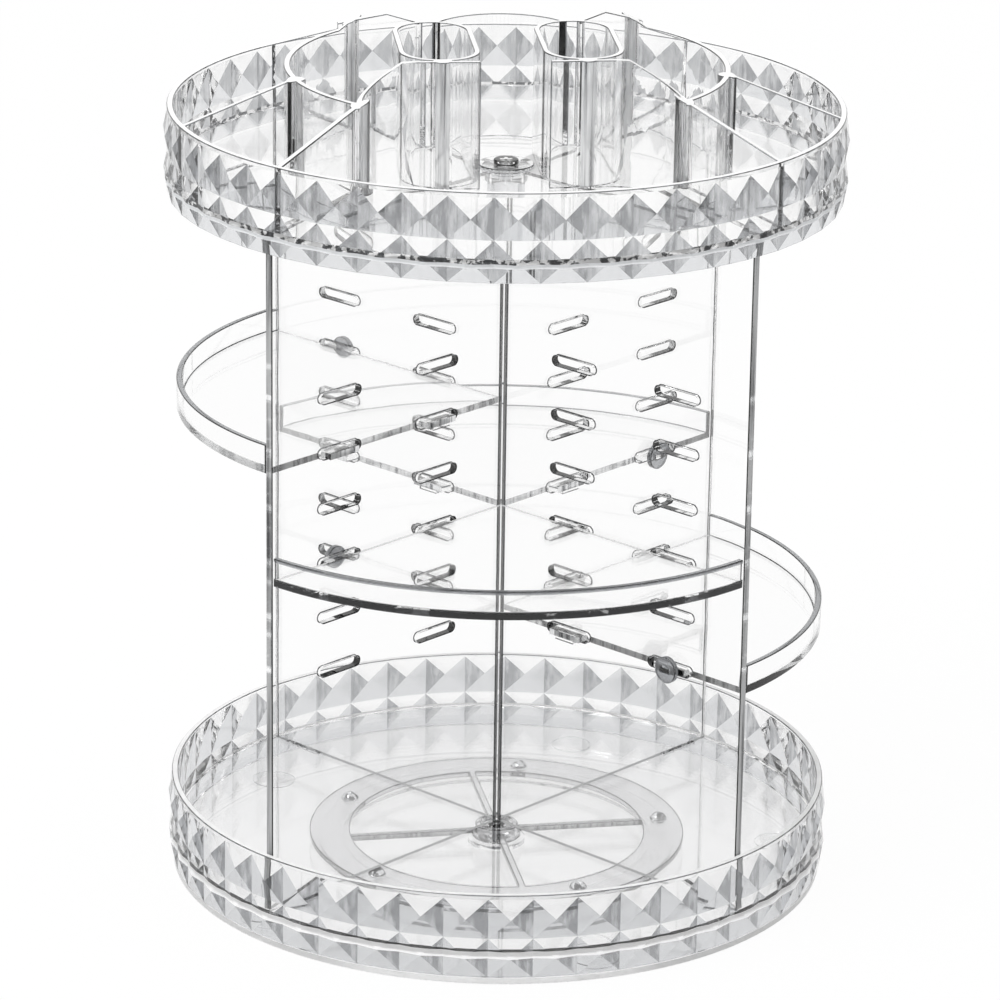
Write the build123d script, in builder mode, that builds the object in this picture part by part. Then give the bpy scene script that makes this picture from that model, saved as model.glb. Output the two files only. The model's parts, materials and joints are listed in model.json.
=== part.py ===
from build123d import *
import os
from math import cos, radians, sin, sqrt

# Rotating makeup organizer, millimetres, +Z up, the front towards -Y.
# The origin is on the turning axis, at the level of the surface that it stands on.

# Foot
foot_lift = 0.4                 # table to the underside of the foot
foot_edge_inset = 0.4           # from the valleys of the base wall to the edge of the foot
foot_thickness = 2.0
pad_radius = 7.0
pad_inset = 13.2                # inside of the base wall to the middle of a pad
pad_count = 5
pad_thickness = 1.2
pad_fit = 0.1

# Pivot
pivot_boss_radius = 10.0        # raised middle of the foot
pivot_boss_height = 1.6
pivot_web = 1.4
pivot_recess_radius = 6.2
pivot_nose_radius = 3.0         # nose of the tray that turns in the foot
running_fit = 0.05
seat_gap = 0.3                  # between pieces that pass each other as it turns
washer_radius = 5.4
washer_thickness = 0.6
washer_play = 0.1
screw_fit = 0.02
pivot_screw_radius = 1.5
pivot_screw_length = 6.6
pivot_head_radius = 3.8
pivot_head_height = 1.2
pivot_head_round = 0.4

# Ball race
ball_radius = 3.0
ball_count = 5
ball_circle = 59.0
ball_first_angle = 8.5
rolling_gap = 0.05
ball_pocket_gap = 0.1
race_width = 8.0
cage_thickness = 2.0
cage_inner_radius = 52.5
cage_outer_radius = 66.5
cage_hub_radius = 8.5
cage_rib_width = 2.4
cage_rib_count = 4
cage_rib_angle = 8.0
tray_boss_radius = 6.6

# Faceted walls of the two round trays
facet_count = 48
facet_rows = 2
facet_row_height = 14.0
facet_depth = 1.2
wall_inner_radius = 111.2
wall_thickness = 2.2            # at the valleys between the facets
wall_lip_height = 1.4
floor_thickness = 2.5
base_wall_gap = 0.4             # foot to the lower edge of the base tray
base_floor_height = 7.0         # lower edge of the base tray to the underside of its floor
base_facet_angle = 266.9
top_floor_height = 4.9
top_turn = 3.8                  # how far the top tray stands turned against the panels

# Upright panels
panel_angles = {"front_left": 225.0, "front_right": 315.0, "back_right": 45.0, "back_left": 135.0}
panel_thickness = 3.0
panel_height = 233.9
panel_core_gap = 0.15
panel_wall_gap = 0.3
slot_length = 18.5
slot_height = 3.4
slot_rows = 6
slot_pitch = 19.1
slot_lowest = 78.7              # base floor to the middle of the lowest slots
slot_radii = (33.25, 79.25)
foot_tab_inset = 14.7           # inside of the base wall to the middle of a panel's tab
foot_tab_width = 17.0
foot_tab_depth = 2.2
foot_tab_fit = 0.15

# Shelf trays: the way that each one faces, and the row of slots that carries it
shelf_places = {"front": (270.0, 2), "right": (0.0, 0), "back": (90.0, 2), "left": (180.0, 4)}
shelf_half_angle = 180 / len(shelf_places)
shelf_setback = 0.1             # outer edge of the panels to the arc of a shelf
shelf_plate = 2.2
shelf_lip_height = 7.6
shelf_lip_thickness = 2.0
shelf_edge_gap = 0.3
tab_width = 13.2
tab_thickness = 2.1
tab_rest_gap = 0.05
tab_reach = 3.4
hook_drop = 1.1
hook_width = 8.0
hook_thickness = 1.6
hook_gap = 0.15
prong_width = 3.6
prong_thickness = 1.4
lock_radius = 4.6
lock_thickness = 2.0
lock_fit = 0.12

# Hub and screw that hold the panels and the top tray together
hub_radius = 8.2
hub_thickness = 3.7
hub_prong_radius = 7.4
hub_prong_length = 9.0
hub_fit = 0.1
top_boss_radius = 9.5
top_boss_height = 1.2
top_screw_radius = 1.6
top_screw_length = 7.0
top_head_radius = 4.2
top_head_height = 1.4
top_head_round = 0.5
screw_cross_width = 1.1
screw_cross_depth = 0.7

# Walls in the top tray, seen from above, right half, front towards -Y
divider_thickness = 2.2
ring_radius = 73.4
ring_rise = 13.0                # rim of the tray to the top of the ring wall
cup_rise = 21.0                 # rim of the tray to the top of the cups
ring_front_angle = 46.0         # angles are counted from the front
ring_back_angle = 139.0
side_divider_angle = 77.0
cup_width = 27.0
cup_length = 55.0
cup_wall = 2.0
cup_center = (23.9, 1.5)
front_curve_middle = (46.5, -33.8)
front_curve_end = (33.0, -26.9)
front_wall_end = (11.5, -27.6)
back_wall_start = (27.0, 27.4)
back_arc_start = (22.0, 27.6)
back_arc_depth = 40.0
joint_radius = 3.3              # walls thicken where they meet

right_angle = 90.0

# Levels and distances that follow
facet_valley_radius = wall_inner_radius + wall_thickness
facet_apex_radius = facet_valley_radius + facet_depth
foot_radius = facet_valley_radius - foot_edge_inset
pad_circle = wall_inner_radius - pad_inset
foot_tab_radius = wall_inner_radius - foot_tab_inset
foot_top = foot_lift + foot_thickness
web_top = foot_top + pivot_boss_height
web_bottom = web_top - pivot_web
wall_bottom = foot_top + base_wall_gap
wall_height = facet_rows * facet_row_height + wall_lip_height
base_floor_bottom = wall_bottom + base_floor_height
base_floor_top = base_floor_bottom + floor_thickness
ball_level = base_floor_bottom - rolling_gap - ball_radius
race_top = ball_level - ball_radius - rolling_gap
panel_top = base_floor_top + panel_height
panel_inner_radius = panel_thickness / 2 + panel_core_gap
panel_outer_radius = wall_inner_radius - panel_wall_gap
shelf_radius = panel_outer_radius - shelf_setback
half_panel = panel_thickness / 2
top_wall_bottom = panel_top - top_floor_height
top_floor_top = panel_top + floor_thickness
top_rim = top_wall_bottom + wall_height
hub_bottom = panel_top - hub_thickness
washer_top = web_bottom - washer_play
washer_bottom = washer_top - washer_thickness
cup_edge = cup_center[0] + cup_width / 2
front_joint = (cup_center[0], cup_center[1] - cup_length / 2)

os.makedirs("parts", exist_ok=True)


def polar(radius, angle):
    """A point in plan at an angle counted from the X axis."""
    return (radius * cos(radians(angle)), radius * sin(radians(angle)))


def from_front(radius, angle):
    """A point in plan at an angle counted from the front, on the right."""
    return polar(radius, angle - right_angle)


def level(height, turn=0.0):
    """A horizontal plane whose X axis is turned about the main axis."""
    return Plane(origin=(0, 0, height), x_dir=(*polar(1, turn), 0), z_dir=(0, 0, 1))


def radial(angle):
    """A vertical plane through the main axis: X runs outwards and Y upwards."""
    return Plane(origin=(0, 0, 0), x_dir=(*polar(1, angle), 0), z_dir=(*polar(1, angle - right_angle), 0))


def save(piece, name):
    piece.label = name
    export_step(piece, f"parts/{name}.step")


# Foot: a flat disc with a raised ball race, and a raised middle with the pivot hole
with BuildPart() as foot_disc:
    with BuildSketch(level(foot_lift)):
        Circle(foot_radius)
    extrude(amount=foot_thickness)
    with BuildSketch(level(foot_top)):
        Circle(ball_circle + race_width / 2)
        Circle(ball_circle - race_width / 2, mode=Mode.SUBTRACT)
    extrude(amount=race_top - foot_top)
    with BuildSketch(level(foot_top)):
        Circle(pivot_boss_radius)
    extrude(amount=pivot_boss_height)
    with BuildSketch(level(foot_lift)):
        Circle(pivot_recess_radius)
    extrude(amount=web_bottom - foot_lift, mode=Mode.SUBTRACT)
    with BuildSketch(level(web_bottom)):
        Circle(pivot_nose_radius + running_fit)
    extrude(amount=pivot_web, mode=Mode.SUBTRACT)
    with BuildSketch(level(foot_lift)):
        with PolarLocations(pad_circle, pad_count):
            Circle(pad_radius + pad_fit)
    extrude(amount=pad_thickness - foot_lift, mode=Mode.SUBTRACT)
save(foot_disc.part, "foot_disc")

with BuildPart() as foot_pads:
    with BuildSketch(level(0)):
        with PolarLocations(pad_circle, pad_count):
            Circle(pad_radius)
    extrude(amount=pad_thickness)
save(foot_pads.part, "foot_pads")

# Pivot washer and screw, which turn with the base tray under the web of the foot
with BuildPart() as pivot_washer:
    with BuildSketch(level(washer_bottom)):
        Circle(washer_radius)
        Circle(pivot_screw_radius + screw_fit, mode=Mode.SUBTRACT)
    extrude(amount=washer_thickness)
save(pivot_washer.part, "pivot_washer")

with BuildPart() as pivot_screw:
    with BuildSketch(level(washer_bottom)):
        Circle(pivot_head_radius)
    extrude(amount=-pivot_head_height)
    fillet(pivot_screw.edges().sort_by(Axis.Z)[0], radius=pivot_head_round)
    with BuildSketch(level(washer_bottom)):
        Circle(pivot_screw_radius)
    extrude(amount=pivot_screw_length)
    with BuildSketch(level(washer_bottom - pivot_head_height)):
        Rectangle(pivot_head_radius, screw_cross_width)
        Rectangle(screw_cross_width, pivot_head_radius)
    extrude(amount=screw_cross_depth, mode=Mode.SUBTRACT)
save(pivot_screw.part, "pivot_screw")

# Ball cage: a flat ring with a pocket for each ball, thin ribs and a hub round the tray's boss
with BuildPart() as ball_cage:
    with BuildSketch(level(ball_level - cage_thickness / 2)):
        Circle(cage_outer_radius)
        Circle(cage_inner_radius, mode=Mode.SUBTRACT)
    extrude(amount=cage_thickness)
    with BuildSketch(level(ball_level - cage_thickness / 2, cage_rib_angle)):
        with PolarLocations((cage_hub_radius + cage_inner_radius) / 2, cage_rib_count):
            Rectangle(cage_inner_radius - cage_hub_radius + cage_rib_width, cage_rib_width)
    extrude(amount=cage_thickness)
    with BuildSketch(level(web_top + seat_gap)):
        Circle(cage_hub_radius)
    extrude(amount=base_floor_bottom - web_top - 2 * seat_gap)
    with BuildSketch(level(web_top)):
        Circle(tray_boss_radius + running_fit)
    extrude(amount=base_floor_bottom - web_top, mode=Mode.SUBTRACT)
    with Locations(level(ball_level, ball_first_angle)):
        with PolarLocations(ball_circle, ball_count):
            Sphere(ball_radius + ball_pocket_gap, mode=Mode.SUBTRACT)
save(ball_cage.part, "ball_cage")

with BuildPart() as bearing_balls:
    with Locations(level(ball_level, ball_first_angle)):
        with PolarLocations(ball_circle, ball_count):
            Sphere(ball_radius)
save(bearing_balls.part, "bearing_balls")


def faceted_blank(bottom, first_valley):
    """A solid drum whose side is rows of square pyramids, with a plain band on top."""
    facet_angle = 360 / facet_count
    flat_radius = facet_apex_radius / cos(radians(facet_angle / 2))
    valleys = [first_valley + i * facet_angle for i in range(facet_count)]
    star = []
    for valley in valleys:
        star.append(polar(facet_valley_radius, valley))
        star.append(polar(facet_apex_radius, valley + facet_angle / 2))
    with BuildPart() as bands:
        for row in range(facet_rows):
            row_bottom = bottom + row * facet_row_height
            for edge_height in (row_bottom, row_bottom + facet_row_height):
                with BuildSketch(level(edge_height)):
                    Polygon(*[polar(facet_valley_radius, valley) for valley in valleys], align=None)
                with BuildSketch(level(row_bottom + facet_row_height / 2)):
                    Polygon(*[polar(flat_radius, valley) for valley in valleys], align=None)
                loft(ruled=True)
    with BuildPart() as blank:
        with BuildSketch(level(bottom)):
            Polygon(*star, align=None)
        extrude(amount=facet_rows * facet_row_height)
        add(bands.part, mode=Mode.INTERSECT)
        with BuildSketch(level(bottom + facet_rows * facet_row_height)):
            Circle(facet_valley_radius)
        extrude(amount=wall_lip_height)
    return blank.part


# Base tray: faceted wall, floor with slots for the panels, and a boss with the pivot nose below
with BuildPart() as base_tray:
    add(faceted_blank(wall_bottom, base_facet_angle))
    with BuildSketch(level(wall_bottom)):
        Circle(wall_inner_radius)
    extrude(amount=base_floor_height, mode=Mode.SUBTRACT)
    with BuildSketch(level(base_floor_top)):
        Circle(wall_inner_radius)
    extrude(amount=wall_height, mode=Mode.SUBTRACT)
    with BuildSketch(level(base_floor_bottom)):
        Circle(tray_boss_radius)
    extrude(amount=web_top + seat_gap - base_floor_bottom)
    with BuildSketch(level(base_floor_bottom)):
        Circle(pivot_nose_radius)
    extrude(amount=washer_top - base_floor_bottom)
    with BuildSketch(level(washer_top)):
        Circle(pivot_screw_radius + screw_fit)
    extrude(amount=pivot_screw_length - washer_thickness, mode=Mode.SUBTRACT)
    for angle in panel_angles.values():
        with BuildSketch(level(base_floor_bottom, angle)):
            with Locations((foot_tab_radius, 0)):
                Rectangle(foot_tab_width + 2 * foot_tab_fit, panel_thickness + 2 * foot_tab_fit)
        extrude(amount=floor_thickness, mode=Mode.SUBTRACT)
save(base_tray.part, "base_tray")


def make_panel(angle):
    """An upright panel with two columns of slots, a tab at its foot and a notch for the hub."""
    notch_radius = hub_radius + hub_fit
    tab_inner = foot_tab_radius - foot_tab_width / 2
    tab_outer = foot_tab_radius + foot_tab_width / 2
    tab_bottom = base_floor_top - foot_tab_depth
    with BuildPart() as panel:
        with BuildSketch(radial(angle)):
            with BuildLine():
                Polyline(
                    (panel_inner_radius, base_floor_top),
                    (tab_inner, base_floor_top),
                    (tab_inner, tab_bottom),
                    (tab_outer, tab_bottom),
                    (tab_outer, base_floor_top),
                    (panel_outer_radius, base_floor_top),
                    (panel_outer_radius, panel_top),
                    (notch_radius, panel_top),
                    (notch_radius, hub_bottom),
                    (panel_inner_radius, hub_bottom),
                    close=True,
                )
            make_face()
            for row in range(slot_rows):
                for radius in slot_radii:
                    with Locations((radius, base_floor_top + slot_lowest + row * slot_pitch)):
                        SlotOverall(slot_length, slot_height, mode=Mode.SUBTRACT)
        extrude(amount=half_panel, both=True)
    return panel.part


for name, angle in panel_angles.items():
    save(make_panel(angle), f"panel_{name}")


def shelf_heights(row):
    """Underside of the shelf plate and middle of its tabs, for a row of slots."""
    bottom = base_floor_top + slot_lowest + row * slot_pitch - slot_height / 2 + tab_rest_gap
    return bottom, bottom + tab_thickness / 2


def quadrant(radius, gap):
    """The quarter disc between two panels, kept clear of their faces, facing the X axis."""
    apex = (half_panel + gap) * sqrt(2)
    Circle(radius)
    Polygon((apex, 0), (apex + radius, radius), (apex + radius, -radius), align=None, mode=Mode.INTERSECT)


def make_shelf(facing, row):
    """A quarter tray with a rim along its arc and tabs that reach through the panels."""
    bottom, tab_level = shelf_heights(row)
    edge = half_panel + shelf_edge_gap
    with BuildPart() as shelf:
        with BuildSketch(level(bottom, facing)):
            quadrant(shelf_radius, shelf_edge_gap)
        extrude(amount=shelf_plate)
        with BuildSketch(level(bottom + shelf_plate, facing)):
            quadrant(shelf_radius, shelf_edge_gap)
            Circle(shelf_radius - shelf_lip_thickness, mode=Mode.SUBTRACT)
        extrude(amount=shelf_lip_height)
        for side in (-1, 1):
            # a tab starts inside the plate, crosses the gap and the panel, and ends behind it
            face = radial(facing + side * shelf_half_angle)
            root = side * (edge + shelf_plate)
            inner_radius, outer_radius = slot_radii
            outer_reach = half_panel if side < 0 else tab_reach
            for radius, reach in ((inner_radius, tab_reach), (outer_radius, outer_reach)):
                with BuildSketch(face.offset(root)):
                    with Locations((radius, tab_level)):
                        Rectangle(tab_width, tab_thickness)
                extrude(amount=-root - side * reach)
            with BuildSketch(face.offset(-side * (half_panel + hook_gap))):
                with Locations((inner_radius, tab_level - hook_drop / 2)):
                    Rectangle(hook_width, tab_thickness + hook_drop)
            extrude(amount=-side * hook_thickness)
            if side < 0:
                with BuildSketch(face.offset(half_panel)):
                    with Locations((outer_radius, tab_level)):
                        Rectangle(prong_width, prong_thickness)
                extrude(amount=lock_fit + lock_thickness)
    return shelf.part


def make_lock(facing, row):
    """A small disc pushed over the prong of a shelf's outer tab, behind the panel."""
    bottom, tab_level = shelf_heights(row)
    with BuildPart() as lock:
        with BuildSketch(radial(facing - shelf_half_angle).offset(half_panel + lock_fit)):
            with Locations((slot_radii[1], tab_level)):
                Circle(lock_radius)
                Rectangle(prong_width + 2 * lock_fit, prong_thickness + 2 * lock_fit, mode=Mode.SUBTRACT)
        extrude(amount=lock_thickness)
    return lock.part


for name, (facing, row) in shelf_places.items():
    save(make_shelf(facing, row), f"shelf_{name}")
    save(make_lock(facing, row), f"lock_disc_{name}")

# Top hub: a disc in the panels' notches, with prongs that stand between the panels
with BuildPart() as top_hub:
    with BuildSketch(level(hub_bottom)):
        Circle(hub_radius)
    extrude(amount=hub_thickness)
    for facing, row in shelf_places.values():
        with BuildSketch(level(hub_bottom, facing)):
            quadrant(hub_prong_radius, hub_fit)
        extrude(amount=-hub_prong_length)
    with BuildSketch(level(hub_bottom)):
        Circle(top_screw_radius + screw_fit)
    extrude(amount=hub_thickness, mode=Mode.SUBTRACT)
save(top_hub.part, "top_hub")

# Walls of the top tray in plan, raised to the top of the cups
with BuildPart() as top_walls:
    with BuildSketch(level(top_floor_top, top_turn)) as wall_plan:
        with BuildLine():
            ring_start = from_front(ring_radius, ring_front_angle)
            ring_end = from_front(ring_radius, ring_back_angle)
            CenterArc(
                center=(0, 0),
                radius=ring_radius,
                start_angle=ring_front_angle - right_angle,
                arc_size=ring_back_angle - ring_front_angle,
            )
            for angle in (ring_front_angle, side_divider_angle, ring_back_angle):
                Line(from_front(ring_radius, angle), from_front(wall_inner_radius + cup_wall / 2, angle))
            ThreePointArc(ring_start, front_curve_middle, front_curve_end)
            Line(front_curve_end, front_wall_end)
            Line(ring_end, back_wall_start)
            ThreePointArc(back_arc_start, (0, back_arc_depth), (-back_arc_start[0], back_arc_start[1]))
        trace(line_width=divider_thickness)
        with Locations(ring_start, from_front(ring_radius, side_divider_angle), ring_end, front_joint):
            Circle(joint_radius)
        with Locations(cup_center):
            SlotOverall(cup_length, cup_width, rotation=right_angle)
        mirror(about=Plane.YZ)
        for side in (-1, 1):
            with Locations((side * cup_center[0], cup_center[1])):
                SlotOverall(
                    cup_length - 2 * cup_wall,
                    cup_width - 2 * cup_wall,
                    rotation=right_angle,
                    mode=Mode.SUBTRACT,
                )
    extrude(amount=top_rim + cup_rise - top_floor_top)
    # the tops slope from the cups down to the ring, and from the ring down to the rim
    with BuildSketch(radial(top_turn)):
        with BuildLine():
            Polyline(
                (-ring_start[0], top_floor_top),
                (ring_start[0], top_floor_top),
                (ring_start[0], top_rim + ring_rise),
                (cup_edge, top_rim + cup_rise),
                (-cup_edge, top_rim + cup_rise),
                (-ring_start[0], top_rim + ring_rise),
                close=True,
            )
        make_face()
    inner_roof = extrude(amount=ring_radius, both=True, mode=Mode.PRIVATE)
    with BuildSketch(Plane.XZ):
        with BuildLine():
            Polyline(
                (0, top_floor_top),
                (wall_inner_radius + cup_wall, top_floor_top),
                (wall_inner_radius + cup_wall, top_rim),
                (wall_inner_radius, top_rim),
                (ring_radius + divider_thickness / 2, top_rim + ring_rise),
                (0, top_rim + ring_rise),
                close=True,
            )
        make_face()
    outer_roof = revolve(axis=Axis.Z, mode=Mode.PRIVATE)
    add(inner_roof + outer_roof, mode=Mode.INTERSECT)

# Top tray: faceted wall, floor with a screw boss, and the walls
with BuildPart() as top_tray:
    add(faceted_blank(top_wall_bottom, top_turn - right_angle))
    with BuildSketch(level(top_wall_bottom)):
        Circle(wall_inner_radius)
    extrude(amount=top_floor_height, mode=Mode.SUBTRACT)
    with BuildSketch(level(top_floor_top)):
        Circle(wall_inner_radius)
    extrude(amount=wall_height, mode=Mode.SUBTRACT)
    with BuildSketch(level(top_floor_top)):
        Circle(top_boss_radius)
    extrude(amount=top_boss_height)
    add(top_walls.part)
    with BuildSketch(level(panel_top)):
        Circle(top_screw_radius + running_fit)
    extrude(amount=floor_thickness + top_boss_height, mode=Mode.SUBTRACT)
save(top_tray.part, "top_tray")

with BuildPart() as top_screw:
    with BuildSketch(level(top_floor_top + top_boss_height)):
        Circle(top_head_radius)
    extrude(amount=top_head_height)
    fillet(top_screw.edges().sort_by(Axis.Z)[-1], radius=top_head_round)
    with BuildSketch(level(top_floor_top + top_boss_height)):
        Circle(top_screw_radius)
    extrude(amount=-top_screw_length)
    with BuildSketch(level(top_floor_top + top_boss_height + top_head_height)):
        Rectangle(top_head_radius, screw_cross_width)
        Rectangle(screw_cross_width, top_head_radius)
    extrude(amount=-screw_cross_depth, mode=Mode.SUBTRACT)
save(top_screw.part, "top_screw")
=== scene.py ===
# Rotating makeup organizer: finishes, rounded edges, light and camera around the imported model.
import json
import math

import bmesh
import bpy
from mathutils import Matrix, Vector

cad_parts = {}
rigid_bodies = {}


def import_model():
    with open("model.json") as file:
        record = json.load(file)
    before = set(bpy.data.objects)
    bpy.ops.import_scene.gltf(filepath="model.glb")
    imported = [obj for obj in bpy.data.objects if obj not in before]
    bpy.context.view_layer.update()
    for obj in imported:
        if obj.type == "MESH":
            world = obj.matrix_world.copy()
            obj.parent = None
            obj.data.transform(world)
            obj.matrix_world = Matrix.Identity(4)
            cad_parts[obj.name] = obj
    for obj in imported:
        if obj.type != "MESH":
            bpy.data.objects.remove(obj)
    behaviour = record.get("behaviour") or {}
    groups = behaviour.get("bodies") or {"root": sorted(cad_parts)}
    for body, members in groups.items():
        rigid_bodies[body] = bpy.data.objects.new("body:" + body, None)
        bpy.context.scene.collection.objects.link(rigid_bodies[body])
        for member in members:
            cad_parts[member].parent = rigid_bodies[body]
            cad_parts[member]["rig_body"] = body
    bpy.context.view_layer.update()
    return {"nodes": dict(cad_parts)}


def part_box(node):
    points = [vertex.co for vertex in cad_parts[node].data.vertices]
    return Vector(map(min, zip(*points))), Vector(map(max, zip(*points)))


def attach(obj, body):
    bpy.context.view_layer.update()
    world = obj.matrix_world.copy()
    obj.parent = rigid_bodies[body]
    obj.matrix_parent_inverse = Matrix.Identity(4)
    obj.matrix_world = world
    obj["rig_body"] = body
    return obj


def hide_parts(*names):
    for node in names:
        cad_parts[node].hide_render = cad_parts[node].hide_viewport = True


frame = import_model()
print("frame loaded")

mm = 0.001


# materials

def srgb(hexText):                      # a hex colour as linear light by the sRGB curve, with alpha
    parts = [int(hexText[i:i + 2], 16) / 255 for i in (1, 3, 5)]
    return [c / 12.92 if c <= 0.04045 else ((c + 0.055) / 1.055) ** 2.4 for c in parts] + [1.0]


def addNode(tree, kind, settings=None, links=None):     # a node with its properties, values and links
    node = tree.nodes.new(kind)
    for key, value in (settings or {}).items():
        if isinstance(key, str) and hasattr(node, key) and key not in node.inputs:
            setattr(node, key, value)
        else:
            node.inputs[key].default_value = value
    for key, socket in (links or {}).items():
        tree.links.new(socket, node.inputs[key])
    return node


def newMaterial(name):
    material = bpy.data.materials.new(name)
    material.use_nodes = True
    material.node_tree.nodes.clear()
    return material, material.node_tree


# Clear polystyrene, injection moulded in a polished tool: glassy, and faintly wavy where the melt flowed.
clearPlastic = {
    "ior": 1.5,
    "flowSize": 18.0,           # mm, the waves left by the flow of the melt
    "flowHeight": 0.02,         # mm
}


def makeClear(name, tint, transmission=1.0, roughness=0.0, streaks=None):
    material, tree = newMaterial(name)
    coords = addNode(tree, "ShaderNodeTexCoord")
    flow = addNode(tree, "ShaderNodeTexNoise", {"Scale": 1 / (clearPlastic["flowSize"] * mm), "Detail": 1.0},
                   {"Vector": coords.outputs["Object"]})
    bump = addNode(tree, "ShaderNodeBump", {"Strength": 1.0, "Distance": clearPlastic["flowHeight"] * mm},
                   {"Height": flow.outputs["Fac"]})
    shader = addNode(tree, "ShaderNodeBsdfPrincipled",
                     {"Base Color": srgb(tint), "Roughness": roughness, "IOR": clearPlastic["ior"],
                      "Transmission Weight": transmission},
                     {"Normal": bump.outputs["Normal"]})
    if streaks:
        stretch = addNode(tree, "ShaderNodeMapping", {"Scale": (1, 1, streaks["width"] / streaks["length"])},
                          {"Vector": coords.outputs["Object"]})
        noise = addNode(tree, "ShaderNodeTexNoise", {"Scale": 1 / (streaks["width"] * mm), "Detail": 2.0},
                        {"Vector": stretch.outputs["Vector"]})
        ramp = addNode(tree, "ShaderNodeValToRGB", None, {"Fac": noise.outputs["Fac"]})
        for stop, place, shade in zip(ramp.color_ramp.elements, streaks["between"], (tint, streaks["light"])):
            stop.position = place
            stop.color = srgb(shade)
        tree.links.new(ramp.outputs["Color"], shader.inputs["Base Color"])
    addNode(tree, "ShaderNodeOutputMaterial", None, {"Surface": shader.outputs[0]})
    return material


# The width across and the length along Z of light streaks in mm, and how much of the face they take. The
# upright streaks break up the painted shade of the wall ends, and the speckles are painted glints on dark
# painted bands.
uprightShadeStreaks = {"width": 1.6, "length": 60.0, "light": "#F0F1F2", "between": (0.34, 0.56)}
paintedGlints = {"width": 2.5, "length": 2.5, "light": "#FFFFFF", "between": (0.46, 0.52)}
fewPaintedGlints = {"width": 4.0, "length": 3.0, "light": "#F4F4F5", "between": (0.62, 0.72)}

# Where light leaves a clear wall sideways, or through a coarse face, the wall looks grey or nearly black, so
# the faces where it does have that shade painted into tints of their own; a few have painted highlights
# instead, and some dark bands have painted glints.
finishes = {
    "wall": makeClear("clearMouldedStyrene", "#FEFEFE"),                       # polished, hardly seen
    "floorUnderside": makeClear("clearTexturedStyrene", "#F7F7F8", 0.97, 0.03),    # a fine mould texture
    "shelfUnderside": makeClear("clearStyreneShelf", "#FAFAFA"),               # a thicker look than one wall
    "topUnderside": makeClear("clearStyreneTopUnderside", "#FEFEFE", 0.98),    # as clear as the walls
    "wallEnd": makeClear("clearStyreneWallEnd", "#4C4E51", 0.6, 0.12, uprightShadeStreaks),   # painted shade: dark, with lighter streaks
    "innerEnd": makeClear("clearStyreneInnerEnd", "#232425", 0.1, 0.3),        # painted shade, nearly black where four meet
    "roundedEdge": makeClear("clearStyreneRoundedEdge", "#4A4C4F", 0.85, 0.05),    # painted shade: a thin grey outline
    "boldEdge": makeClear("clearStyreneBoldEdge", "#1E1F21", 0.7, 0.05),       # painted shade: a thin dark outline
    "rimTop": makeClear("clearStyreneRimTop", "#FFFFFF", 0.15, 0.2),            # painted highlight: white tops of the walls
    "shelfSide": makeClear("clearStyreneShelfSide", "#6A6C6F", 0.7, 0.12),     # painted shade: a grey line along a panel
    "lipTop": makeClear("clearStyreneLipTop", "#7B7D80", 0.6, 0.1),            # painted shade: a grey line on a shelf's lip
    "greyBand": makeClear("clearStyreneLipRound", "#85878A", 0.8, 0.1),        # painted shade, grey like the line above it
    "darkBand": makeClear("clearStyrenePlateEdge", "#2A2B2D", 0.7, 0.1, fewPaintedGlints),    # painted shade, dark, with a few painted glints
    "topFloorBand": makeClear("clearStyreneFloorEdge", "#2E3033", 0.7, 0.1, paintedGlints),   # painted shade: a dark line broken by painted glints
    "topFloorFoot": makeClear("clearStyreneFloorFoot", "#DCDEE0", 0.4, 0.3),   # painted shade, pale grey below that line
    "baseFloorBand": makeClear("clearStyreneBaseEdge", "#FFFFFF", 0.5, 0.3),   # painted highlight: a white band
    "panelFoot": makeClear("clearStyrenePanelFoot", "#8E9093", 0.3, 0.3),      # painted shade: a thin grey line
    "footRim": makeClear("clearStyreneFootRim", "#FFFFFF", 0.5, 0.3),          # painted highlight: a soft white rim
    "foot": makeClear("clearStyreneFoot", "#FAFAFA", 0.98),                    # clear, seen through the base
    "hub": makeClear("clearStyreneHub", "#E2E3E5", 0.97),                      # thick, so a little grey
    "lock": makeClear("greySatinStyrene", "#B4B6B9", 0.8, 0.1),                # satin grey discs
    "pad": makeClear("clearSoftVinyl", "#FFFFFF"),                             # cast vinyl, hardly seen
    "cage": makeClear("frostedNylon", "#F4F4F5", 0.96, 0.12),                  # moulded nylon, faint frost
}

# The upper facets throw the light of the room back and look white; the others look into the wall. So the
# sides of the facets have painted light and shade: a white tint on the upper facets, and grey tints with
# lighter streaks on the others.
paintedFacetShading = {
    "base_tray": {"upper": "#FDFDFD", "lower": "#BFC1C4", "left": "#C0C2C5", "right": "#696B6E"},
    "top_tray": {"upper": "#FFFFFF", "lower": "#CDCFD2", "left": "#85878A", "right": "#626467"},
}
facetTransmission = 0.97
paintedFacetStreaks = {"width": 2.2, "length": 9.0, "light": "#C2C4C7", "between": (0.46, 0.85)}
for node, tints in paintedFacetShading.items():
    for side, tint in tints.items():
        name = "clearStyrene" + node[:-len("_tray")].capitalize() + side.capitalize() + "Facet"
        streaks = None if side == "upper" else paintedFacetStreaks
        finishes[node + side] = makeClear(name, tint, facetTransmission, 0.0, streaks)

waveLength = math.pi / 10           # of the ring pattern where its scale is 1


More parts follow.
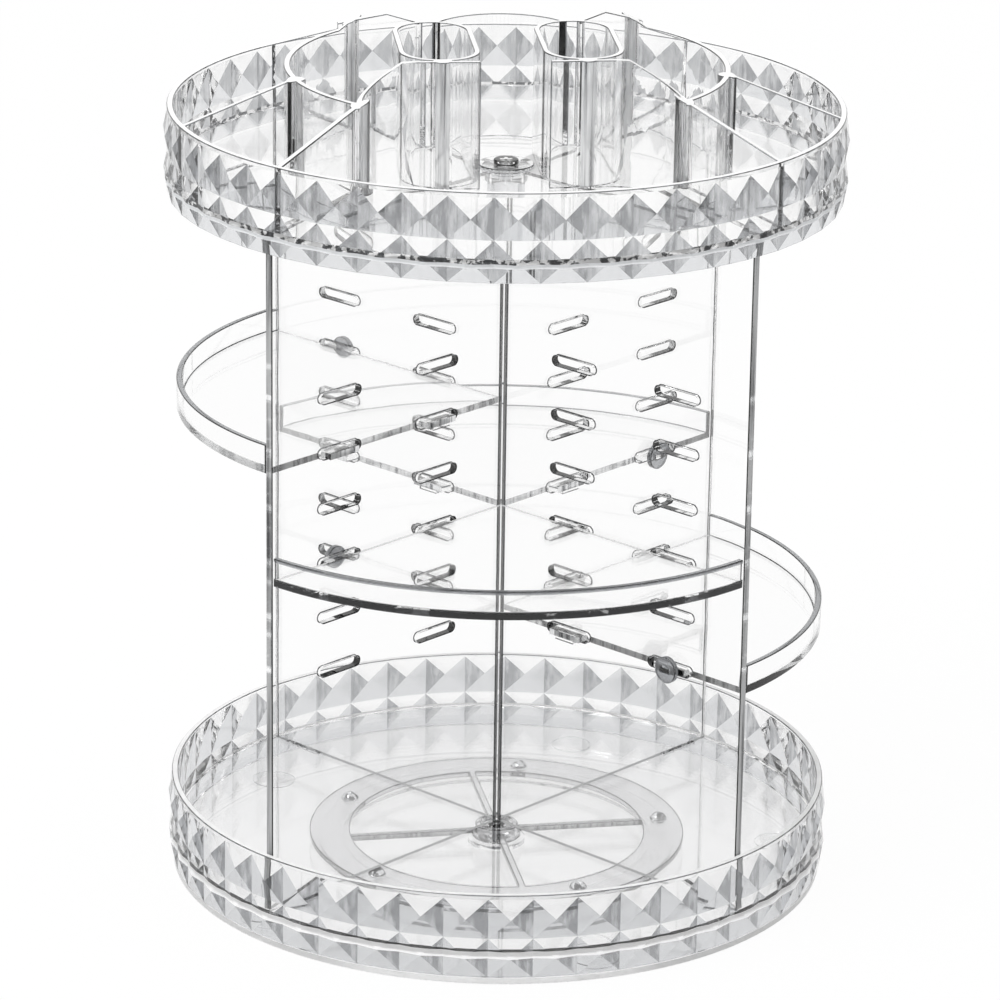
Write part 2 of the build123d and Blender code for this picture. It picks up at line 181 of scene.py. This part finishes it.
def makeSteel(name, roughness, marks):
    material, tree = newMaterial(name)
    coords = addNode(tree, "ShaderNodeTexCoord")
    rings = addNode(tree, "ShaderNodeTexWave",
                    {"wave_type": "RINGS", "rings_direction": "Z", "Distortion": marks["waver"],
                     "Scale": waveLength / (marks["spacing"] * mm)}, {"Vector": coords.outputs["Object"]})
    bump = addNode(tree, "ShaderNodeBump", {"Strength": 1.0, "Distance": marks["depth"] * mm},
                   {"Height": rings.outputs["Fac"]})
    # patches of two shades: wear on the zinc, and a painted reflection on the ball
    wearAndPaintedReflection = addNode(tree, "ShaderNodeTexNoise", {"Scale": 1 / (marks["patches"] * mm), "Detail": 3.0},
                   {"Vector": coords.outputs["Object"]})
    tone = addNode(tree, "ShaderNodeValToRGB", None, {"Fac": wearAndPaintedReflection.outputs["Fac"]})
    for stop, place, shade in zip(tone.color_ramp.elements, marks["between"], marks["shades"]):
        stop.position = place
        stop.color = srgb(shade)
    shader = addNode(tree, "ShaderNodeBsdfPrincipled", {"Roughness": roughness, "Metallic": 1.0},
                     {"Base Color": tone.outputs["Color"], "Normal": bump.outputs["Normal"]})
    addNode(tree, "ShaderNodeOutputMaterial", None, {"Surface": shader.outputs[0]})
    return material


# Marks: the spacing and depth of the tool's rings and the size of patches in mm, which are worn patches on
# the zinc and painted reflection spots on the ball, the share of the noise between the two shades, and the
# shades.
# Hardened steel, ground and polished: mirror bright, with faint grinding marks; its black and near-white
# spots are a painted reflection of dark and bright things around it.
ballSteelPaintedReflection = makeSteel("polishedBearingSteel", 0.1, {"spacing": 0.3, "waver": 2.0, "depth": 0.002,
                                                    "patches": 2.0, "between": (0.47, 0.53),
                                                    "shades": ("#0C0C0D", "#E8E9EA")})
# Turned steel with a thin zinc plating: dull silver, with turning rings about its axis.
zincSteel = makeSteel("zincPlatedSteel", 0.28, {"spacing": 0.35, "waver": 0.5, "depth": 0.01,
                                                "patches": 2.0, "between": (0.4, 0.6),
                                                "shades": ("#85878B", "#A9ABAE")})
metalNodes = {"bearing_balls": ballSteelPaintedReflection, "pivot_washer": zincSteel, "pivot_screw": zincSteel}
bodyFinishes = {"foot_disc": "foot", "foot_pads": "pad", "ball_cage": "cage", "top_hub": "hub"}
bodyFinishes.update({"lock_disc_" + side: "lock" for side in ("front", "right", "back", "left")})
print("materials ready")


# pieces

moulding = {
    "mergeDistance": 0.002,     # mm
    "cutDistance": 0.001,       # mm, within which a point lies on a cutting level
    "flatAngle": 0.4,           # degrees, below which two triangles are one face
    "sharpAngle": 28,           # degrees, above which an edge stays sharp
    "edgeRound": 0.3,           # mm, the small round that a moulding has on its edges
    "leastStep": 0.65,          # mm, the edges of a lower step than this stay sharp
    "seatGap": 0.05,            # mm, between faces that rest on each other, as real ones never meet all over
    "seatReach": 0.01,          # mm, a point nearer than this to a seat lies on it
    "floorThickness": 2.5,      # mm, of both round trays
    "footTabDepth": 2.2,        # mm, how far a panel's tab sits in the base floor
    "plateThickness": 2.2,      # mm, of a shelf
    "lipHeight": 7.6,           # mm, of a shelf's lip above its plate
    "lipRound": 1.2,            # mm, the part of the lip's height that is painted grey as shade
    "floorLine": (-1.1, 0.5),   # mm, from the top of the upper floor to both sides of its painted dark line
}

# What tells one kind of face from another: lengths in mm, areas in mm2, and rises, which are the Z part of
# a face's normal.
faceRules = {
    "facetRadius": 112.6,       # faces further out than this may be facets
    "facetLean": 0.08,          # a facet's normal leans at least this much to one side
    "outside": 105.0,           # the outer faces of foot, trays and shelves lie past this radius
    "lipRadius": 100.0,         # the shelves' edges nearer the axis stay sharp, as their tabs leave no room
    "core": 9.0,                # the panels' inner ends lie within this radius
    "level": 0.99,              # a rise above this is level
    "sloping": 0.5,             # the sloping tops of the dividers rise more than this
    "upright": 0.3,             # a rise below this is upright
    "plumb": 0.1,               # the strips of a round post rise less than this
    "outward": 0.8,             # a rise below this faces outwards
    "narrow": 3.2,              # a face narrower than this is the end or the top of a wall
    "postStrip": 0.75,          # the strips of a round post are narrower than this
    "endArea": 12.0,            # the end of a wall is larger than this
    "stripArea": 8.0,           # a strip of a post is larger than this
    "innerArea": 300.0,         # a panel's inner end is larger than this
    "sideArea": 100.0,          # a straight side of the front shelf is larger than this
    "lipArea": (100.0, 1000.0),     # the area of the top of a shelf's lip lies between these
    "plateArea": 3000.0,        # the underside of a shelf is larger than this
    "levelMargin": 1.0,         # how far a face may lie past the floor that it belongs to
}

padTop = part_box("foot_pads")[1].z / mm
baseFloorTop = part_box("panel_front_left")[0].z / mm + moulding["footTabDepth"]
baseFloorBottom = baseFloorTop - moulding["floorThickness"]
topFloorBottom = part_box("top_hub")[1].z / mm
topFloorTop = topFloorBottom + moulding["floorThickness"]
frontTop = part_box("shelf_front")[1].z / mm
frontPlateTop = frontTop - moulding["lipHeight"]
panelNames = ["panel_" + corner for corner in ("front_left", "front_right", "back_right", "back_left")]

# The bands that the photograph shows on outer faces: lower and upper level and least radius in mm, and
# the finish.
rimRadius, facetRadius = faceRules["outside"], faceRules["facetRadius"]
shadeLineBottom, shadeLineTop = [topFloorTop + reach for reach in moulding["floorLine"]]
lipBottom, lipTop = frontTop - moulding["lipRound"], frontTop + moulding["lipRound"]
# Each band is painted shade or painted highlight: dark and grey lines, and a white band on the base floor's
# edge.
paintedShadeAndHighlightBands = {
    "base_tray": [(baseFloorBottom, baseFloorTop, rimRadius, "baseFloorBand")],
    "top_tray": [(topFloorBottom, shadeLineBottom, facetRadius, "topFloorFoot"),
                 (shadeLineBottom, shadeLineTop, facetRadius, "topFloorBand")],
    "shelf_front": [(frontPlateTop - moulding["plateThickness"], frontPlateTop, rimRadius, "darkBand"),
                    (lipBottom, lipTop, rimRadius, "greyBand")],
}

# The levels in mm of faces that rest on another piece, and which way they draw back from it.
seats = {"foot_pads": [(padTop, -1)], "top_hub": [(topFloorBottom, -1)]}
seats.update({name: [(baseFloorTop, 1), (topFloorBottom, -1)] for name in panelNames})

# The levels in mm between which a piece's edges are rounded, and the radius within which they always are.
lowestLevel, highestLevel = 0, 300
roundedLevels = {
    "base_tray": (20, 60),                              # the rim
    "top_tray": (topFloorTop - 0.2, highestLevel),      # above its floor
    "panel": (13, 245.5),                               # between the base floor and the top tray
    "shelf": (lowestLevel, highestLevel),
    "lock_disc": (lowestLevel, highestLevel),
    "ball_cage": (lowestLevel, highestLevel),
}
roundedRadius = {"base_tray": 16}                       # the rings at the middle of the floor


def facetSide(face):                    # which side of its pyramid a face is, or None for other faces
    middle = face.calc_center_median()
    if math.hypot(middle.x, middle.y) < faceRules["facetRadius"] * mm or len(face.verts) > 4:
        return None
    out = Vector((middle.x, middle.y, 0)).normalized()
    along = Vector((-out.y, out.x, 0))
    lean, side = face.normal.z, face.normal.dot(along)
    if max(abs(lean), abs(side)) < faceRules["facetLean"]:
        return None
    if abs(lean) > abs(side):
        return "upper" if lean > 0 else "lower"
    return "right" if side > 0 else "left"


def finishOf(node, face):               # the name of one face's finish; many finishes are painted shade or painted highlight
    middle = face.calc_center_median() / mm
    radius = math.hypot(middle.x, middle.y)
    area = face.calc_area() / mm ** 2
    width = 2 * area / (face.calc_perimeter() / mm)
    rise, narrow = face.normal.z, width < faceRules["narrow"]
    upright, outside = abs(rise) < faceRules["upright"], radius > faceRules["outside"]
    tray, panel, shelf = (word in node for word in ("tray", "panel", "shelf"))
    for lower, upper, least, finish in paintedShadeAndHighlightBands.get(node, []):
        if lower < middle.z < upper and radius > least and abs(rise) < faceRules["outward"]:
            return finish
    if node == "foot_disc" and upright and outside:
        return "footRim"
    inFloor = baseFloorBottom < middle.z < baseFloorTop + faceRules["levelMargin"]
    if panel and rise < -faceRules["level"] and inFloor:
        return "panelFoot"
    if tray and facetSide(face):
        return node + facetSide(face)
    overFoot = middle.z > baseFloorBottom - faceRules["levelMargin"]
    if node == "base_tray" and rise < -faceRules["level"] and overFoot:
        return "floorUnderside"
    if shelf and node != "shelf_front" and rise < -faceRules["level"] and area > faceRules["plateArea"]:
        return "shelfUnderside"
    # the top of a shelf's lip gets a painted grey shade line
    if shelf and rise > faceRules["level"] and faceRules["lipArea"][0] < area < faceRules["lipArea"][1]:
        return "lipTop"
    if node == "shelf_front" and upright and faceRules["sideArea"] < area and not outside:
        return "shelfSide"
    if panel and upright and area > faceRules["innerArea"] and radius < faceRules["core"]:
        return "innerEnd"
    if upright and narrow and area > faceRules["endArea"] and not any(edge.smooth for edge in face.edges):
        return "wallEnd"
    # the narrow strips of the top tray's round posts get the same painted shade
    if (node == "top_tray" and abs(rise) < faceRules["plumb"] and width < faceRules["postStrip"]
            and area > faceRules["stripArea"]):
        return "wallEnd"
    if tray and rise > faceRules["sloping"] and narrow:
        return "rimTop"
    if node == "top_tray" and rise < -faceRules["level"]:
        return "topUnderside"
    return bodyFinishes.get(node, "wall")


def isSmooth(edge):
    return len(edge.link_faces) == 2 and edge.calc_face_angle(0) < math.radians(moulding["sharpAngle"])


def cutPaintedBands(bm, node):                 # edges along the borders of the painted shade and highlight bands
    for level in {level for band in paintedShadeAndHighlightBands.get(node, []) for level in band[:2]}:
        bmesh.ops.bisect_plane(bm, geom=bm.verts[:] + bm.edges[:] + bm.faces[:], plane_no=(0, 0, 1),
                               plane_co=(0, 0, level * mm), dist=moulding["cutDistance"] * mm)
    bmesh.ops.dissolve_degenerate(bm, dist=moulding["cutDistance"] * mm, edges=bm.edges)


def drawBack(bm, node):                 # a hair's gap at the seats, so that light meets both faces
    for level, way in seats.get(node, []):
        for vertex in bm.verts:
            if abs(vertex.co.z / mm - level) < moulding["seatReach"]:
                vertex.co.z += way * moulding["seatGap"] * mm


def depthBehind(face, edge):            # how far a face reaches from one of its edges
    start = edge.verts[0].co
    along = (edge.verts[1].co - start).normalized()
    reaches = [vertex.co - start for vertex in face.verts]
    return max((reach - along * reach.dot(along)).length for reach in reaches)


def roundEdges(bm, node, material):     # the sharp edges that show as lines get a small round, painted with an edge shade
    kinds = [kind for kind in roundedLevels if node.startswith(kind)]
    lowest, highest = roundedLevels[kinds[0]] if kinds else (0, 0)
    kept = []
    for edge in bm.edges:
        middle = (edge.verts[0].co + edge.verts[1].co) / 2 / mm
        radius = math.hypot(middle.x, middle.y)
        near = lowest < middle.z < highest or radius < roundedRadius.get(node, 0)
        if abs(middle.z - topFloorTop) < moulding["edgeRound"] and radius > faceRules["outside"]:
            continue                    # where the upper floor meets its wall
        nearest = min(vertex.co.xy.length for vertex in edge.verts)
        if "shelf" in node and nearest < faceRules["lipRadius"] * mm:
            continue
        if near and not edge.smooth and len(edge.link_faces) == 2:
            shallow = min(depthBehind(face, edge) for face in edge.link_faces) < moulding["leastStep"] * mm
            if not shallow and not ("tray" in node and any(facetSide(face) for face in edge.link_faces)):
                kept.append(edge)
    if not kept:
        return
    made = bmesh.ops.bevel(bm, geom=kept, offset=moulding["edgeRound"] * mm, offset_type="OFFSET", segments=1,
                           profile=0.5, affect="EDGES", clamp_overlap=False, material=material)
    rounds = set(made["faces"])
    for face in rounds:
        face.smooth = True
        for edge in face.edges:
            edge.smooth = all(other in rounds for other in edge.link_faces) and isSmooth(edge)


def mouldedCopy(node):                  # a CAD node's mesh, merged, with rounded edges and its finishes
    source = frame["nodes"][node]
    mesh = source.data.copy()
    mesh.materials.clear()
    bm = bmesh.new()
    bm.from_mesh(mesh)
    bmesh.ops.remove_doubles(bm, verts=bm.verts, dist=moulding["mergeDistance"] * mm)
    bmesh.ops.dissolve_limit(bm, angle_limit=math.radians(moulding["flatAngle"]),
                             verts=bm.verts, edges=bm.edges)
    cutPaintedBands(bm, node)
    drawBack(bm, node)
    for edge in bm.edges:
        edge.smooth = isSmooth(edge)
    for face in bm.faces:
        face.smooth = not ("tray" in node and facetSide(face))
        if not face.smooth:
            for edge in face.edges:
                edge.smooth = False
    # The rounds on the edges are painted with shade: dark on the panels, the front shelf and the cage, grey
    # on the rest.
    darkerEdgeShade = node in panelNames or node in ("shelf_front", "ball_cage")
    edgeShadeFinish = "boldEdge" if darkerEdgeShade else "roundedEdge"
    used = [bodyFinishes.get(node, "wall"), edgeShadeFinish]
    for face in bm.faces:
        finish = finishOf(node, face)
        if finish not in used:
            used.append(finish)
        face.material_index = used.index(finish)
    roundEdges(bm, node, used.index(edgeShadeFinish))
    bm.to_mesh(mesh)
    bm.free()
    for finish in used:
        mesh.materials.append(finishes[finish])
    piece = bpy.data.objects.new(node + "_moulded", mesh)
    bpy.context.scene.collection.objects.link(piece)
    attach(piece, source["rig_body"])
    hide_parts(node)
    print(node, len(mesh.polygons), "faces:", ", ".join(used))
    return piece


for node, source in frame["nodes"].items():
    if node in metalNodes:
        source.data.materials.clear()
        source.data.materials.append(metalNodes[node])
    else:
        mouldedCopy(node)
print("pieces ready")


# floor, light and camera

floorPaper = {
    "radius": 6.0,
    "corners": 96,
    "level": -0.1,              # mm, a hair below the pads
    "color": "#FAFAFA",
    "glow": 0.96,               # how white the paper looks; the rest of its look is the object's shadow
}


def raysThatSee(tree):                  # 1 for rays that show the background in a picture, else 0
    path = addNode(tree, "ShaderNodeLightPath")
    total = path.outputs["Is Camera Ray"]
    for kind in ("Is Transmission Ray", "Is Glossy Ray"):
        both = addNode(tree, "ShaderNodeMath", {"operation": "MAXIMUM"}, {0: total, 1: path.outputs[kind]})
        total = both.outputs[0]
    return total


def makeFloor():
    bm = bmesh.new()
    bmesh.ops.create_circle(bm, cap_ends=True, segments=floorPaper["corners"], radius=floorPaper["radius"])
    bmesh.ops.translate(bm, verts=bm.verts, vec=(0, 0, floorPaper["level"] * mm))
    mesh = bpy.data.meshes.new("floor")
    bm.to_mesh(mesh)
    bm.free()
    floor = bpy.data.objects.new("floor", mesh)
    bpy.context.scene.collection.objects.link(floor)
    material, tree = newMaterial("whitePaper")
    share = addNode(tree, "ShaderNodeMath", {"operation": "MULTIPLY", 1: floorPaper["glow"]},
                    {0: raysThatSee(tree)})
    paper = addNode(tree, "ShaderNodeBsdfDiffuse", {"Color": srgb(floorPaper["color"])})
    glow = addNode(tree, "ShaderNodeEmission", {"Color": (1, 1, 1, 1), "Strength": 1.0})
    mix = addNode(tree, "ShaderNodeMixShader", None,
                  {0: share.outputs[0], 1: paper.outputs[0], 2: glow.outputs[0]})
    addNode(tree, "ShaderNodeOutputMaterial", None, {"Surface": mix.outputs[0]})
    mesh.materials.append(material)


makeFloor()

studio = {
    "sky": [(0.45, 1.0), (0.62, 0.7), (0.9, 1.0)],     # heights from nadir to zenith, and how bright
    "lampSize": (1.2, 0.8),
    "lampPower": 12,            # W
    "lampPlace": (-0.9, -0.6, 1.6),
    "lampAim": (0, 0, 0.15),
}
scene = bpy.context.scene
world = bpy.data.worlds.new("studio")
scene.world = world
world.use_nodes = True
tree = world.node_tree
tree.nodes.clear()
coords = addNode(tree, "ShaderNodeTexCoord")
split = addNode(tree, "ShaderNodeSeparateXYZ", None, {"Vector": coords.outputs["Generated"]})
ramp = addNode(tree, "ShaderNodeValToRGB", None, {"Fac": split.outputs["Z"]})
ramp.color_ramp.elements.new(studio["sky"][2][0])
for stop, (height, brightness) in zip(ramp.color_ramp.elements, studio["sky"]):
    stop.position = height
    stop.color = (brightness, brightness, brightness, 1)
backdrop = addNode(tree, "ShaderNodeMix", {"data_type": "RGBA", 7: (1, 1, 1, 1)},     # 6 and 7: its colours
                   {"Factor": raysThatSee(tree), 6: ramp.outputs["Color"]})
background = addNode(tree, "ShaderNodeBackground", {"Strength": 1.0}, {"Color": backdrop.outputs[2]})
addNode(tree, "ShaderNodeOutputWorld", None, {"Surface": background.outputs[0]})

lamp = bpy.data.lights.new("softbox", "AREA")
lamp.shape = "RECTANGLE"
lamp.size, lamp.size_y = studio["lampSize"]
lamp.energy = studio["lampPower"]
lampObject = bpy.data.objects.new("softbox", lamp)
scene.collection.objects.link(lampObject)
lampObject.location = studio["lampPlace"]
aim = Vector(studio["lampAim"]) - lampObject.location
lampObject.rotation_euler = aim.to_track_quat("-Z", "Y").to_euler()

view = {
    "distance": 1.7,
    "elevation": 19.08,         # degrees
    "azimuth": 268.0,           # degrees, where the camera stands, counted from +X
    "front": 270.0,             # degrees, where the object's front faces
    "roll": -0.84,              # degrees
    "aside": -0.00038,
    "lookHeight": 0.13029,
    "lens": 178.5,              # mm
    "sensor": 36,               # mm
    "farthest": 20,
}
elevation = math.radians(view["elevation"])
turn = Matrix.Rotation(math.radians(view["azimuth"] - view["front"]), 3, "Z")
forward = turn @ Vector((0, math.cos(elevation), -math.sin(elevation)))
right = turn @ Vector((1, 0, 0))
up = right.cross(forward)
roll = math.radians(view["roll"])
rightTurned = math.cos(roll) * right - math.sin(roll) * up
upTurned = math.sin(roll) * right + math.cos(roll) * up
camera = bpy.data.cameras.new("camera")
camera.lens = view["lens"]
camera.sensor_width = view["sensor"]
camera.clip_end = view["farthest"]
cameraObject = bpy.data.objects.new("camera", camera)
scene.collection.objects.link(cameraObject)
pose = Matrix((rightTurned, upTurned, -forward)).transposed().to_4x4()
pose.translation = view["aside"] * right + Vector((0, 0, view["lookHeight"])) - view["distance"] * forward
cameraObject.matrix_world = pose
scene.camera = cameraObject

scene.view_settings.view_transform = "Standard"
bounces = {"clear": 32, "glossy": 12, "diffuse": 3}     # light crosses a dozen clear walls
scene.cycles.max_bounces = bounces["clear"]
scene.cycles.transmission_bounces = bounces["clear"]
scene.cycles.transparent_max_bounces = bounces["clear"]
scene.cycles.glossy_bounces = bounces["glossy"]
scene.cycles.diffuse_bounces = bounces["diffuse"]
print("light and camera ready")
